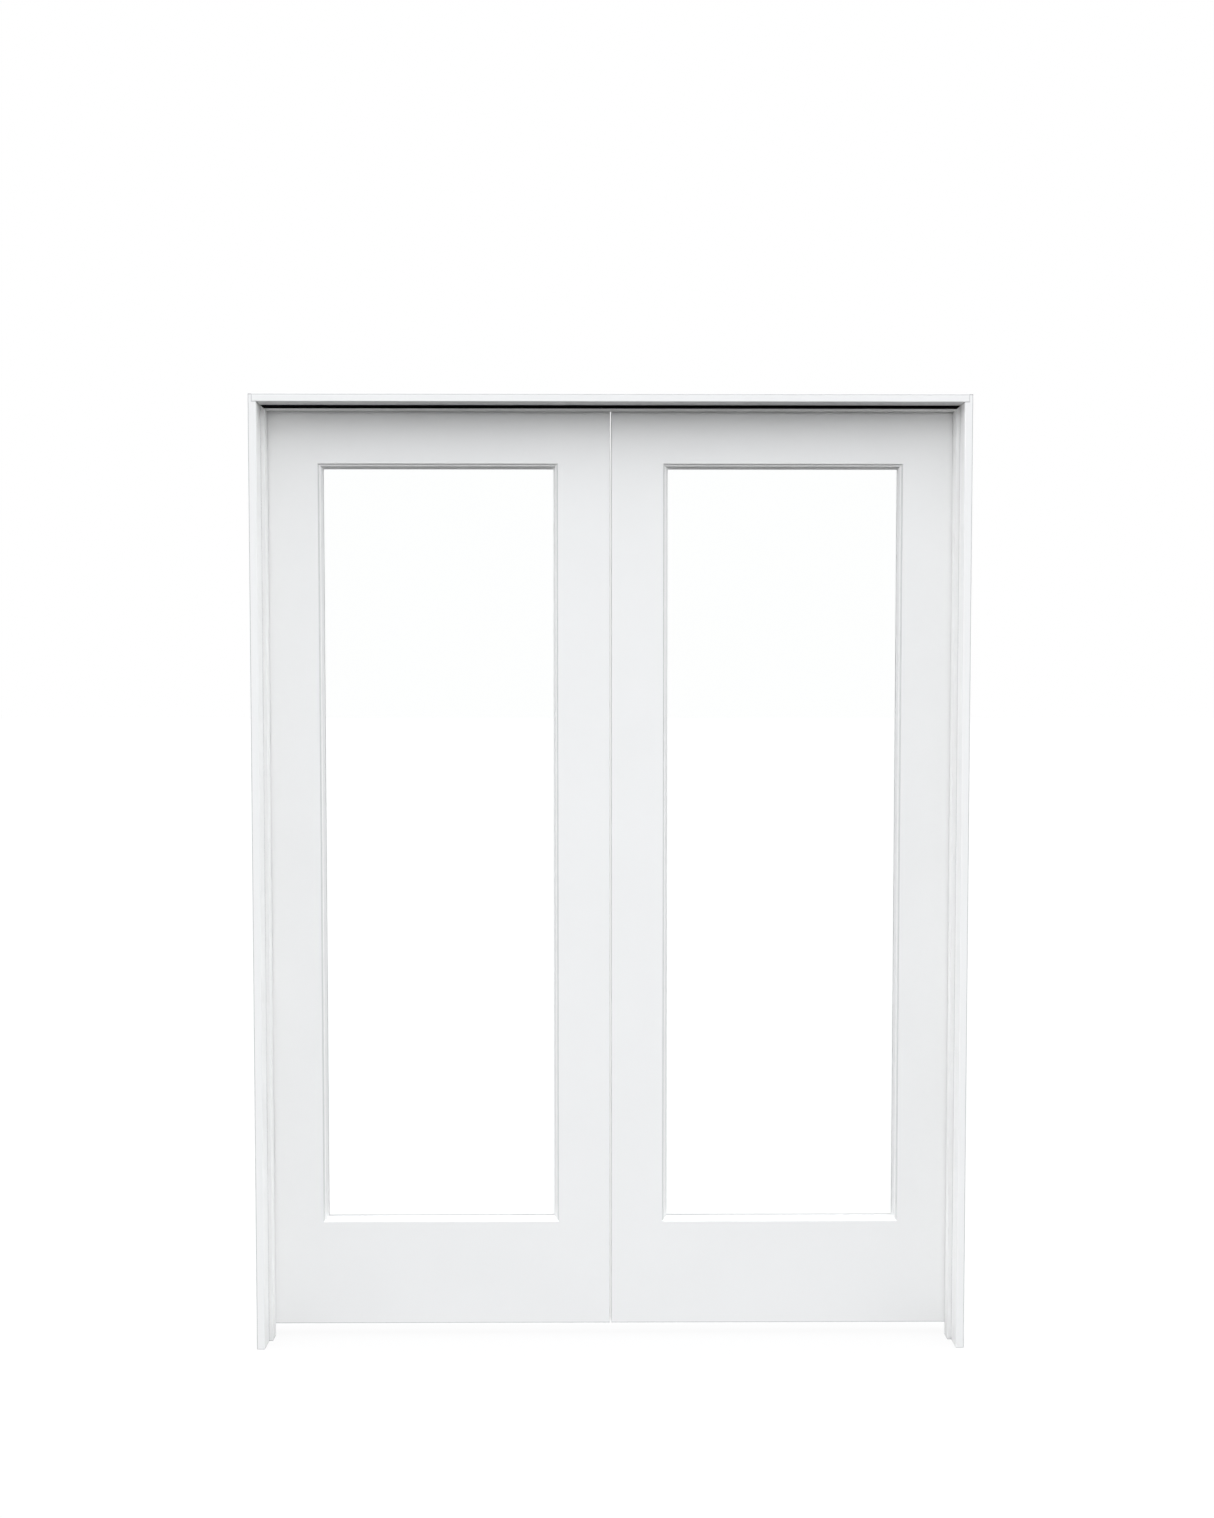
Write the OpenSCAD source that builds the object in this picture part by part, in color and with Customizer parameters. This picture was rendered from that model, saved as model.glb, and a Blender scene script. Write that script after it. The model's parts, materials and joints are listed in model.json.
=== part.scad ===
// Pair of glazed interior doors, hung on butt hinges in a flat timber frame.
// Millimetres. The stops face -Y, and both leaves open towards +Y.
// Origin: floor level, middle of the frame's width, middle of the jambs' depth.

/* [Frame] */
// Overall width across both side jambs
frame_w = 1554; // [1400:1:1900]
// Overall height from the floor to the top of the head
frame_h = 2080; // [1900:1:2500]
// Depth of the jambs through the wall
jamb_depth = 116; // [100:1:180]
// Thickness of the side jambs
jamb_t = 17.5; // [16:0.5:30]
// Thickness of the head jamb
head_t = 16.5; // [15:0.5:30]
// Depth of the housing in each side jamb that takes the head
head_housing = 9.5; // [6:0.5:12]
// Radius of the eased arrises on the jambs and the head
frame_arris_r = 1.5; // [0.5:0.1:3]

/* [Stops] */
// Projection of the stops from the jamb face
stop_t = 9; // [7:0.5:14]
// Width of the stops along the depth of the jambs
stop_w = 32; // [25:1:45]
// Radius of the nose along the front edge of the stops
stop_nose_r = 1.5; // [1:0.5:4]
// Radius of the eased back edge of the stops
stop_arris_r = 0.8; // [0.4:0.1:2]
// Thickness of the black seal let into the front of the head stop
seal_t = 3; // [2:0.5:6]

/* [Leaves] */
// Thickness of the leaves
leaf_t = 35; // [32:1:45]
// Face width of the stiles, up to the moulding
stile_w = 114.5; // [95:0.5:150]
// Face width of the top rails, up to the moulding
top_rail_w = 118.5; // [95:0.5:180]
// Face width of the bottom rails, up to the moulding
bottom_rail_w = 230; // [150:1:320]
// Gap between each jamb and its leaf
hinge_gap = 3; // [2:0.5:4]
// Gap between the two leaves at their back faces
meet_gap = 2; // [1.5:0.5:4]
// Relief planed off the front of each meeting edge
meet_bevel = 1; // [0:0.25:2]
// Gap between the leaves and the head
head_gap = 3; // [2:0.5:4]
// Gap between the leaves and the stops
stop_gap = 1.5; // [1:0.5:3]
// Height of the leaves above the floor
undercut = 27; // [8:1:40]
// Radius of the eased arrises on the stiles
leaf_arris_r = 1.2; // [0.5:0.1:3]

/* [Moulding and glass] */
// Width of the moulding round the glass
moulding_w = 10.3; // [9:0.1:16]
// Width of the slope between the face and the ovolo
slope_w = 3; // [2:0.1:3.5]
// Depth of that slope
slope_d = 4.4; // [3:0.1:5]
// Flat between the slope and the ovolo
ovolo_flat = 0.5; // [0.2:0.1:0.8]
// Radius of the ovolo
ovolo_r = 2.8; // [2.3:0.1:3.3]
// Step between the ovolo and the bevel
fillet_step = 0.6; // [0.3:0.1:1]
// Square land left between the bevel and the glass
bevel_land = 1.2; // [0.8:0.1:2]
// Depth from the front face to the glazing rebate
lip_d = 14.5; // [13:0.5:18]
// Thickness of the glass
glass_t = 4; // [3:0.5:6]
// Gap round the edge of the glass
glass_clear = 2; // [1:0.5:4]
// Radius of the dubbed corners of the glass
glass_corner_r = 2; // [1:0.5:5]
// Thickness of the glazing tape on each face of the glass
tape_t = 1; // [0.5:0.1:2]
// How far the tape stays back from the sight line
tape_setback = 1.5; // [0.5:0.5:4]

/* [Hinges] */
// Height of a hinge
hinge_h = 89; // [76:1:102]
// Width of a hinge leaf from the pin's axis
hinge_leaf_w = 44.5; // [38:0.5:50]
// Thickness of a hinge leaf
hinge_plate_t = 2.2; // [1.8:0.1:3]
// Radius of the routed corners of a hinge leaf
hinge_corner_r = 16; // [3:1:16]
// Distance of the pin's axis behind the leaves
pin_offset = 16; // [11:1:20]
// Radius of a hinge pin
pin_r = 3; // [2.5:0.1:4]
// Running clearance of the pin in its knuckles
pin_clear = 0.05; // [0.02:0.01:0.1]
// Wall of a knuckle round the pin
knuckle_wall = 2.7; // [2:0.1:4]
// Number of knuckles on a hinge
knuckles = 5; // [3:2:7]
// End play between two knuckles, and the room round them
knuckle_gap = 0.4; // [0.2:0.1:1]
// Chamfer round the ends of a knuckle
knuckle_ease = 0.3; // [0.1:0.1:0.5]
// Thickness of a pin's head
pin_head_t = 3; // [2:0.5:5]
// How far a pin stands out below its hinge
pin_tip = 1.5; // [1:0.5:4]
// From the top of a leaf to its top hinge
hinge_from_top = 178; // [120:1:250]
// From the foot of a leaf to its bottom hinge
hinge_from_foot = 280; // [150:1:350]
// Clearance round plates that are let into the wood
let_in_clear = 0.2; // [0.1:0.05:0.5]

/* [Screws and dowels] */
// Clearance of a screw in its hole
screw_clear = 0.15; // [0.1:0.05:0.3]
// Length of a hinge screw
hinge_screw_l = 15; // [10:1:15]
// Shank radius of a hinge screw
hinge_screw_r = 2.1; // [1.5:0.1:2.5]
// Head radius of a hinge screw
hinge_screw_head_r = 4; // [3.2:0.1:4.5]
// Distance of the end screws of a hinge leaf from its middle
hinge_screw_spread = 30; // [24:1:32]
// Distance of those end screws from the outer edge of the hinge leaf
hinge_screw_end_inset = 20; // [16:0.5:24]
// Distance of its middle screw from that edge
hinge_screw_mid_inset = 9; // [7:0.5:14]
// Length of a screw that holds the head to a jamb
frame_screw_l = 45; // [30:1:60]
// Shank radius of a frame screw
frame_screw_r = 2; // [1.5:0.1:2.5]
// Head radius of a frame screw
frame_screw_head_r = 3.8; // [3:0.1:4.5]
// Spacing of the frame screws across the jamb depth
frame_screw_pitch = 38; // [25:1:45]
// Radius of a dowel
dowel_r = 6; // [4:0.5:8]
// Length of a dowel
dowel_l = 80; // [50:1:90]
// Clearance of a dowel in its hole
dowel_clear = 0.1; // [0.05:0.05:0.3]

/* [Ball catches] */
// Distance of a catch from the meeting edge
catch_backset = 35; // [28:1:42]
// Radius of the ball
ball_r = 5.5; // [5:0.1:6.5]
// How far the ball rises into its strike
ball_bite = 1.2; // [0.8:0.1:1.6]
// Clearance of the ball in its barrel
ball_clear = 0.15; // [0.05:0.05:0.3]
// Height of the turned-in lip that keeps the ball
catch_lip = 1; // [0.6:0.1:1.5]
// Length of a catch barrel
catch_l = 30; // [26:1:40]
// Wall of a catch barrel
catch_wall = 1.4; // [1:0.1:2.5]
// Thickness of the end of a catch barrel
catch_end = 2; // [1:0.5:4]
// Width of a catch barrel's flange
catch_flange_w = 2.5; // [1.5:0.5:4]
// Thickness of a catch barrel's flange
catch_flange_t = 1.6; // [1:0.1:2.5]
// Radius of the spring's wire
spring_wire_r = 0.45; // [0.3:0.05:0.6]
// Room between the spring and the barrel
spring_clear = 0.8; // [0.5:0.1:1.2]
// Turns of the spring
spring_turns = 7; // [5:1:9]
// Length of a strike plate
strike_l = 50; // [44:1:56]
// Width of a strike plate
strike_w = 20; // [16:1:26]
// Thickness of a strike plate
strike_t = 1.6; // [1.2:0.1:2.5]
// Corner radius of a strike plate
strike_corner_r = 4; // [2:0.5:7]
// Room round the ball in its strike
strike_clear = 0.3; // [0.2:0.1:0.6]
// Depth of the ball's pocket in the head, above the strike
ball_pocket_d = 5; // [3:0.5:8]
// How much wider that pocket is than the hole in the strike
ball_pocket_margin = 1; // [0.5:0.1:2]
// Distance of the strike's screws from its middle
strike_screw_spread = 18; // [14:0.5:20]
// Length of a strike screw
strike_screw_l = 12; // [8:1:13]
// Shank radius of a strike screw
strike_screw_r = 1.5; // [1:0.1:2]
// Head radius of a strike screw
strike_screw_head_r = 3; // [2.2:0.1:3.5]

/* [Hidden] */
$fn = 64;
PAINT = [0.93, 0.94, 0.95];
STEEL = [0.70, 0.70, 0.68];
PALE_TAPE = [0.85, 0.85, 0.85];
BLACK = [0.03, 0.03, 0.03];
CLEAR = [0.80, 0.90, 0.90, 0.3];
BARE_WOOD = [0.80, 0.65, 0.45];

SIDES = ["left", "right"];
HINGES = ["top", "middle", "bottom"];
EDGES = ["hinge_side", "meeting_side", "top", "bottom"];
FRAME_NODES = ["head_jamb", "head_stop", "head_seal", "head_screws", "jamb_hinge_screws", "strike_screws"];
SIDE_NODES = [
    "jamb", "stop", "hinge_stile", "meeting_stile", "top_rail", "bottom_rail", "rail_dowels",
    "glass", "glazing_tape", "door_hinge_screws",
    "catch_barrel", "catch_ball", "catch_spring", "catch_strike"
];
HINGE_NODES = ["jamb_leaf", "door_leaf", "pin"];

// How far cutting shapes run past what they cut
over = 1;
jamb_face_x = -frame_w / 2 + jamb_t;
head_z = frame_h - head_t;
head_l = frame_w - 2 * (jamb_t - head_housing);

leaf_x = jamb_face_x + hinge_gap;
leaf_y = jamb_depth / 2 - leaf_t;
leaf_w = -meet_gap / 2 - leaf_x;
leaf_h = head_z - head_gap - undercut;
lite_w = leaf_w - 2 * stile_w;
lite_h = leaf_h - top_rail_w - bottom_rail_w;
stop_y = leaf_y - stop_gap - stop_w;

glass_y = lip_d + tape_t;
bead_d = leaf_t - glass_y - glass_t - tape_t;

pin_x = jamb_face_x + hinge_gap / 2;
pin_y = jamb_depth / 2 + pin_offset;
barrel_r = pin_r + pin_clear + knuckle_wall;
plate_start = barrel_r + knuckle_gap;
hinge_low_z = undercut + hinge_from_foot;
hinge_high_z = undercut + leaf_h - hinge_from_top - hinge_h;
hinge_z = [hinge_high_z, (hinge_low_z + hinge_high_z) / 2, hinge_low_z];

// The ball stands proud of the leaf by the gap above it and its bite
ball_z = head_gap + ball_bite - ball_r;
catch_bore_r = ball_r + ball_clear;
catch_r = catch_bore_r + catch_wall;
catch_lip_r = sqrt(ball_r ^ 2 - ball_z ^ 2) + ball_clear;
catch_floor_z = catch_end - catch_l;
strike_hole_r = sqrt(ball_r ^ 2 - (ball_r - ball_bite) ^ 2) + strike_clear;
ball_pocket_r = strike_hole_r + ball_pocket_margin;
spring_r = catch_bore_r - spring_clear - spring_wire_r;
// The spring's top coil rests just under the ball
spring_top_z = ball_z - sqrt((ball_r + spring_wire_r + ball_clear) ^ 2 - spring_r ^ 2);
spring_foot_z = catch_floor_z + spring_wire_r;
// Facets round the spring's wire and along one of its turns
spring_wire_sides = 6;
spring_turn_steps = 12;

function unit(v) = v / norm(v);

// Tangent points and centre of an arc of radius r in the corner b of the path a, b, c
function corner_arc(a, b, c, r) =
    let (
        u = unit(a - b),
        v = unit(c - b),
        half = acos(u * v) / 2
    )
    [b + u * r / tan(half), b + v * r / tan(half), b + unit(u + v) * r / sin(half)];

// Convex outline whose corners are rounded by the matching radius, and left sharp at 0
module eased_outline(points, radii) {
    last = len(points) - 1;
    arcs = [
        for (i = [0:last])
            corner_arc(points[i == 0 ? last : i - 1], points[i], points[i == last ? 0 : i + 1], radii[i])
    ];
    polygon([for (i = [0:last]) each radii[i] > 0 ? [arcs[i][0], arcs[i][1]] : [points[i]]]);
    for (i = [0:last])
        if (radii[i] > 0)
            translate(arcs[i][2])
                circle(radii[i]);
}

// Rectangle from the origin with one radius for each corner, anticlockwise
module eased_rect(w, h, radii) {
    eased_outline([[0, 0], [w, 0], [w, h], [0, h]], radii);
}

// Bar along +Z with the child outline as its section, mitred inwards along +X
module mitred_bar(length, width, depth, foot_mitre = true, top_mitre = true) {
    near_x = -2 * over;
    far_x = width + over;
    foot = [for (x = [near_x, far_x]) [x, foot_mitre ? x : -over]];
    top = [for (x = [far_x, near_x]) [x, length - (top_mitre ? x : -over)]];
    intersection() {
        linear_extrude(length)
            children();
        translate([0, depth + over, 0])
            rotate([90, 0, 0])
                linear_extrude(depth + 2 * over)
                    polygon(concat(foot, top));
    }
}

// Countersunk screw with its head at z = 0, driven towards -Z
module screw(length, shank_r, head_r, head_h, clear = 0) {
    tip_h = 2 * shank_r;
    rotate_extrude()
        polygon([
            [0, clear],
            [head_r + clear, clear],
            [head_r + clear, 0],
            [shank_r + clear, -head_h],
            [shank_r + clear, tip_h - length],
            [shank_r / 2, -length - clear],
            [0, -length - clear]
        ]);
}

// Builds the children as they stand on the left, or mirrored on the right
module on_side(side) {
    if (side == "left")
        children();
    else
        mirror([1, 0, 0])
            children();
}

// From the lower hinge-side corner of the left leaf's front face
module at_leaf() {
    translate([leaf_x, leaf_y, undercut])
        children();
}

// From the foot of the left leaf's hinge i, on the pin's axis
module at_hinge(i) {
    translate([pin_x, pin_y, hinge_z[i]])
        children();
}

module at_hinges() {
    for (i = [0:len(HINGES) - 1])
        at_hinge(i)
            children();
}

// From the middle of the left leaf's catch, level with the top of the leaf
module at_catch() {
    at_leaf()
        translate([leaf_w - catch_backset, leaf_t / 2, leaf_h])
            children();
}

// From the middle of the left strike, level with the underside of the head
module at_strike() {
    translate([-meet_gap / 2 - catch_backset, leaf_y + leaf_t / 2, head_z])
        children();
}

// From the left end of the head stop, with the stop's projection along +X turned down
module at_head_stop() {
    translate([jamb_face_x, stop_y, head_z])
        rotate([0, 90, 0])
            children();
}

// Screws that hold the head in one jamb, driven from the jamb's outer face
module frame_screws(clear = 0) {
    for (i = [-1:1])
        translate([-frame_w / 2, i * frame_screw_pitch, frame_h - head_t / 2])
            rotate([0, -90, 0])
                screw(frame_screw_l, frame_screw_r, frame_screw_head_r, frame_screw_head_r, clear);
}

module jamb() {
    color(PAINT)
        difference() {
            translate([-frame_w / 2, -jamb_depth / 2, 0])
                linear_extrude(frame_h)
                    eased_rect(jamb_t, jamb_depth, frame_arris_r * [1, 1, 1, 1]);
            translate([jamb_face_x - head_housing, -jamb_depth / 2 - over, head_z])
                cube([head_housing + over, jamb_depth + 2 * over, head_t + over]);
            at_hinges()
                hinge_mortise();
            frame_screws(screw_clear);
        }
}

module head_jamb() {
    color(PAINT)
        difference() {
            translate([-head_l / 2, -jamb_depth / 2, head_z])
                rotate([90, 0, 90])
                    linear_extrude(head_l)
                        eased_rect(jamb_depth, head_t, frame_arris_r * [1, 1, 1, 1]);
            for (side = SIDES)
                on_side(side) {
                    frame_screws(screw_clear);
                    at_strike()
                        strike_mortise();
                }
        }
}

module head_screws() {
    color(STEEL)
        for (side = SIDES)
            on_side(side)
                frame_screws();
}

module stop_section() {
    eased_rect(stop_t, stop_w, [0, stop_nose_r, stop_arris_r, 0]);
}

module seal_section() {
    square([stop_t - stop_nose_r, seal_t]);
}

module side_stop() {
    color(PAINT)
        translate([jamb_face_x, stop_y, 0])
            mitred_bar(head_z, stop_t, stop_w, foot_mitre = false)
                stop_section();
}

module head_stop() {
    color(PAINT)
        at_head_stop()
            mitred_bar(-2 * jamb_face_x, stop_t, stop_w)
                difference() {
                    stop_section();
                    seal_section();
                }
}

module head_seal() {
    color(BLACK)
        at_head_stop()
            mitred_bar(-2 * jamb_face_x, stop_t, stop_w)
                seal_section();
}

// Section of the moulding: +X towards the glass, +Y into the leaf from its face.
// A moulding worked on a stile or a rail starts as far back in the wood as its root.
module moulding_section(depth, root) {
    ovolo = [slope_w + ovolo_flat, slope_d + ovolo_r];
    wood_side = root > 0 ? [[-root, depth], [-root, 0]] : [[0, depth]];
    polygon(concat(
        [
            [0, 0],
            [slope_w, slope_d],
            ovolo - [0, ovolo_r],
            ovolo + [ovolo_r, 0],
            ovolo + [ovolo_r, fillet_step],
            [moulding_w, depth - bevel_land],
            [moulding_w, depth]
        ],
        wood_side
    ));
    translate(ovolo)
        circle(ovolo_r);
}

// One mitred length of moulding along an edge of the lite, in leaf coordinates
module lite_edge(edge, depth, root) {
    upright = edge == "hinge_side" || edge == "meeting_side";
    far_x = leaf_w - stile_w;
    top_z = leaf_h - top_rail_w;
    corner = [
        edge == "hinge_side" || edge == "top" ? stile_w : far_x,
        0,
        edge == "top" ? top_z : bottom_rail_w
    ];
    turn = edge == "top" ? 90 : edge == "bottom" ? -90 : 0;
    translate(corner)
        rotate([0, turn, 0])
            mirror([edge == "meeting_side" ? 1 : 0, 0, 0])
                mitred_bar(upright ? lite_h : lite_w, moulding_w, depth)
                    moulding_section(depth, root);
}

// Dowels across the joints of the top rail and the bottom rail, in leaf coordinates
module dowel_set(clear = 0) {
    top_z = [for (i = [0:1]) leaf_h - top_rail_w * (i + 0.5) / 2];
    bottom_z = [for (i = [0:2]) bottom_rail_w * (i + 0.5) / 3];
    for (x = [stile_w, leaf_w - stile_w])
        for (z = concat(top_z, bottom_z))
            translate([x - dowel_l / 2 - clear, leaf_t / 2, z])
                rotate([0, 90, 0])
                    cylinder(h = dowel_l + 2 * clear, r = dowel_r + clear);
}

module rail_dowels() {
    color(BARE_WOOD)
        at_leaf()
            dowel_set();
}

module hinge_stile() {
    color(PAINT)
        difference() {
            at_leaf() {
                linear_extrude(leaf_h)
                    eased_rect(stile_w, leaf_t, leaf_arris_r * [1, 0, 0, 1]);
                lite_edge("hinge_side", lip_d, over);
            }
            at_hinges()
                mirror([1, 0, 0])
                    hinge_mortise();
            at_leaf()
                dowel_set(dowel_clear);
        }
}

module meeting_stile() {
    section = [[0, 0], [stile_w - meet_bevel, 0], [stile_w, leaf_t], [0, leaf_t]];
    color(PAINT)
        difference() {
            at_leaf() {
                translate([leaf_w - stile_w, 0, 0])
                    linear_extrude(leaf_h)
                        eased_outline(section, leaf_arris_r * [0, 1, 1, 0]);
                lite_edge("meeting_side", lip_d, over);
            }
            at_leaf()
                dowel_set(dowel_clear);
            at_catch()
                catch_socket();
        }
}

// Rail between the stiles from its foot, with its moulding along the lite
module rail(foot_z, width, edge) {
    color(PAINT)
        at_leaf()
            difference() {
                union() {
                    translate([stile_w, 0, foot_z])
                        cube([lite_w, leaf_t, width]);
                    lite_edge(edge, lip_d, over);
                }
                dowel_set(dowel_clear);
            }
}

module top_rail() {
    rail(leaf_h - top_rail_w, top_rail_w, "top");
}

module bottom_rail() {
    rail(0, bottom_rail_w, "bottom");
}

// Upright sheet as large as the lite less a margin, in leaf coordinates
module lite_sheet(margin, thickness, corner_r) {
    translate([stile_w + margin, thickness, bottom_rail_w + margin])
        rotate([90, 0, 0])
            linear_extrude(thickness)
                eased_rect(lite_w - 2 * margin, lite_h - 2 * margin, corner_r * [1, 1, 1, 1]);
}

module glass() {
    color(CLEAR)
        at_leaf()
            translate([0, glass_y, 0])
                lite_sheet(glass_clear, glass_t, glass_corner_r);
}

module glazing_tape() {
    color(PALE_TAPE)
        at_leaf()
            for (y = [lip_d, glass_y + glass_t])
                translate([0, y, 0])
                    difference() {
                        lite_sheet(glass_clear, tape_t, glass_corner_r);
                        translate([0, -over, 0])
                            lite_sheet(moulding_w - tape_setback, tape_t + 2 * over, glass_corner_r);
                    }
}

// Loose bead that holds the glass from the back
module bead(edge) {
    color(PAINT)
        at_leaf()
            translate([0, leaf_t, 0])
                mirror([0, 1, 0])
                    lite_edge(edge, bead_d, 0);
}

// Outline of a hinge leaf: +X away from the pin, +Y up the hinge
module hinge_plate_outline(clear = 0) {
    corner_r = hinge_corner_r + clear;
    translate([plate_start, -clear])
        eased_rect(hinge_leaf_w - plate_start + clear, hinge_h + 2 * clear, corner_r * [0, 1, 1, 0]);
}

// Plate of a jamb leaf, from its exposed face towards the jamb
module hinge_plate(thickness, clear = 0) {
    translate([-hinge_gap / 2, 0, 0])
        rotate([90, 0, -90])
            linear_extrude(thickness)
                hinge_plate_outline(clear);
}

// Screws of one jamb leaf, driven towards the jamb
module hinge_screws(clear = 0) {
    for (i = [-1:1])
        translate([
            -hinge_gap / 2,
            (i == 0 ? hinge_screw_mid_inset : hinge_screw_end_inset) - hinge_leaf_w,
            hinge_h / 2 + i * hinge_screw_spread
        ])
            rotate([0, 90, 0])
                screw(hinge_screw_l, hinge_screw_r, hinge_screw_head_r, hinge_plate_t, clear);
}

// Recess for a jamb leaf and its screws
module hinge_mortise() {
    translate([over, 0, 0])
        hinge_plate(hinge_plate_t + over, let_in_clear);
    hinge_screws(screw_clear);
}

// Knuckle i of a hinge, with the tongue that joins it to a jamb leaf's plate
module knuckle(i) {
    foot_z = i * hinge_h / knuckles + (i == 0 ? 0 : knuckle_gap / 2);
    top_z = (i + 1) * hinge_h / knuckles - (i == knuckles - 1 ? 0 : knuckle_gap / 2);
    h = top_z - foot_z;
    translate([0, 0, foot_z]) {
        rotate_extrude()
            polygon([
                [0, 0],
                [barrel_r - knuckle_ease, 0],
                [barrel_r, knuckle_ease],
                [barrel_r, h - knuckle_ease],
                [barrel_r - knuckle_ease, h],
                [0, h]
            ]);
        translate([-hinge_gap / 2 - hinge_plate_t, -plate_start - over, 0])
            cube([hinge_plate_t, plate_start + over, h]);
    }
}

// Hinge leaf on the jamb's side of the pin, with every second knuckle from the first
module hinge_leaf(first) {
    color(STEEL)
        difference() {
            union() {
                hinge_plate(hinge_plate_t);
                for (i = [first:2:knuckles - 1])
                    knuckle(i);
            }
            translate([0, 0, -over])
                cylinder(h = hinge_h + 2 * over, r = pin_r + pin_clear);
            hinge_screws(screw_clear);
        }
}

module jamb_leaf(i) {
    at_hinge(i)
        hinge_leaf(0);
}

module door_leaf(i) {
    at_hinge(i)
        mirror([1, 0, 0])
            hinge_leaf(1);
}

// Pin with a domed head on the top knuckle and a tapered tip
module pin(i) {
    dome_r = (barrel_r ^ 2 + pin_head_t ^ 2) / (2 * pin_head_t);
    color(STEEL)
        at_hinge(i) {
            cylinder(h = hinge_h, r = pin_r);
            translate([0, 0, -pin_tip])
                cylinder(h = pin_tip, r1 = pin_r / 2, r2 = pin_r);
            translate([0, 0, hinge_h])
                intersection() {
                    cylinder(h = pin_head_t, r = barrel_r);
                    translate([0, 0, pin_head_t - dome_r])
                        sphere(dome_r);
                }
        }
}

module jamb_hinge_screws() {
    color(STEEL)
        for (side = SIDES)
            on_side(side)
                at_hinges()
                    hinge_screws();
}

module door_hinge_screws() {
    color(STEEL)
        at_hinges()
            mirror([1, 0, 0])
                hinge_screws();
}

// Outside of a catch barrel, sunk from the top of the leaf
module catch_body(clear = 0) {
    translate([0, 0, -catch_l - clear])
        cylinder(h = catch_l + clear, r = catch_r + clear);
    translate([0, 0, -catch_flange_t])
        cylinder(h = catch_flange_t, r = catch_r + catch_flange_w + clear);
}

module catch_socket() {
    catch_body(let_in_clear);
    cylinder(h = over, r = catch_r);
}

module catch_barrel() {
    color(STEEL)
        at_catch()
            difference() {
                catch_body();
                rotate_extrude()
                    polygon([
                        [0, catch_floor_z],
                        [catch_bore_r, catch_floor_z],
                        [catch_bore_r, -catch_lip],
                        [catch_lip_r, 0],
                        [catch_lip_r, over],
                        [0, over]
                    ]);
            }
}

module catch_ball() {
    color(STEEL)
        at_catch()
            translate([0, 0, ball_z])
                sphere(ball_r);
}

// One ring of the spring's wire, t turns up from its foot
function spring_ring(t) = [
    for (k = [0:spring_wire_sides - 1])
        let (
            round_wire = 360 * k / spring_wire_sides,
            r = spring_r + spring_wire_r * cos(round_wire),
            rise = (spring_top_z - spring_foot_z) * t / spring_turns
        )
        [r * cos(360 * t), r * sin(360 * t), spring_foot_z + rise + spring_wire_r * sin(round_wire)]
];

module catch_spring() {
    n = spring_wire_sides;
    steps = spring_turns * spring_turn_steps;
    points = [for (i = [0:steps]) each spring_ring(i / spring_turn_steps)];
    sides = [
        for (i = [0:steps - 1])
            for (k = [0:n - 1])
                let (next = (k + 1) % n)
                [i * n + k, (i + 1) * n + k, (i + 1) * n + next, i * n + next]
    ];
    foot = [for (k = [0:n - 1]) k];
    top = [for (k = [n - 1:-1:0]) steps * n + k];
    color(STEEL)
        at_catch()
            polyhedron(points, concat(sides, [foot, top]));
}

// Strike plate's outline about its middle
module strike_outline(clear = 0) {
    l = strike_l + 2 * clear;
    w = strike_w + 2 * clear;
    translate([-l / 2, -w / 2])
        eased_rect(l, w, (strike_corner_r + clear) * [1, 1, 1, 1]);
}

// Screws of one strike plate, driven up into the head
module strike_screw_pair(clear = 0) {
    for (x = [-strike_screw_spread, strike_screw_spread])
        translate([x, 0, 0])
            mirror([0, 0, 1])
                screw(strike_screw_l, strike_screw_r, strike_screw_head_r, strike_t, clear);
}

// Recess for a strike plate, its screws and the top of the ball
module strike_mortise() {
    translate([0, 0, -over])
        linear_extrude(strike_t + over)
            strike_outline(let_in_clear);
    cylinder(h = strike_t + ball_pocket_d, r = ball_pocket_r);
    strike_screw_pair(screw_clear);
}

module catch_strike() {
    color(STEEL)
        at_strike()
            difference() {
                linear_extrude(strike_t)
                    strike_outline();
                translate([0, 0, -over])
                    cylinder(h = strike_t + 2 * over, r = strike_hole_r);
                strike_screw_pair(screw_clear);
            }
}

module strike_screws() {
    color(STEEL)
        for (side = SIDES)
            on_side(side)
                at_strike()
                    strike_screw_pair();
}

head_jamb();
head_stop();
head_seal();
head_screws();
jamb_hinge_screws();
strike_screws();
for (side = SIDES)
    on_side(side) {
        jamb();
        side_stop();
        hinge_stile();
        meeting_stile();
        top_rail();
        bottom_rail();
        rail_dowels();
        glass();
        glazing_tape();
        door_hinge_screws();
        catch_barrel();
        catch_ball();
        catch_spring();
        catch_strike();
        for (edge = EDGES) {
            bead(edge);
        }
        for (i = [0:len(HINGES) - 1]) {
            jamb_leaf(i);
            door_leaf(i);
            pin(i);
        }
    }
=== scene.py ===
"""Finishes, fixings and stage for a pair of glazed doors that stand in their own timber frame."""

import json
import math

import bmesh
import bpy
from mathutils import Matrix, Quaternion, Vector


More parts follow.
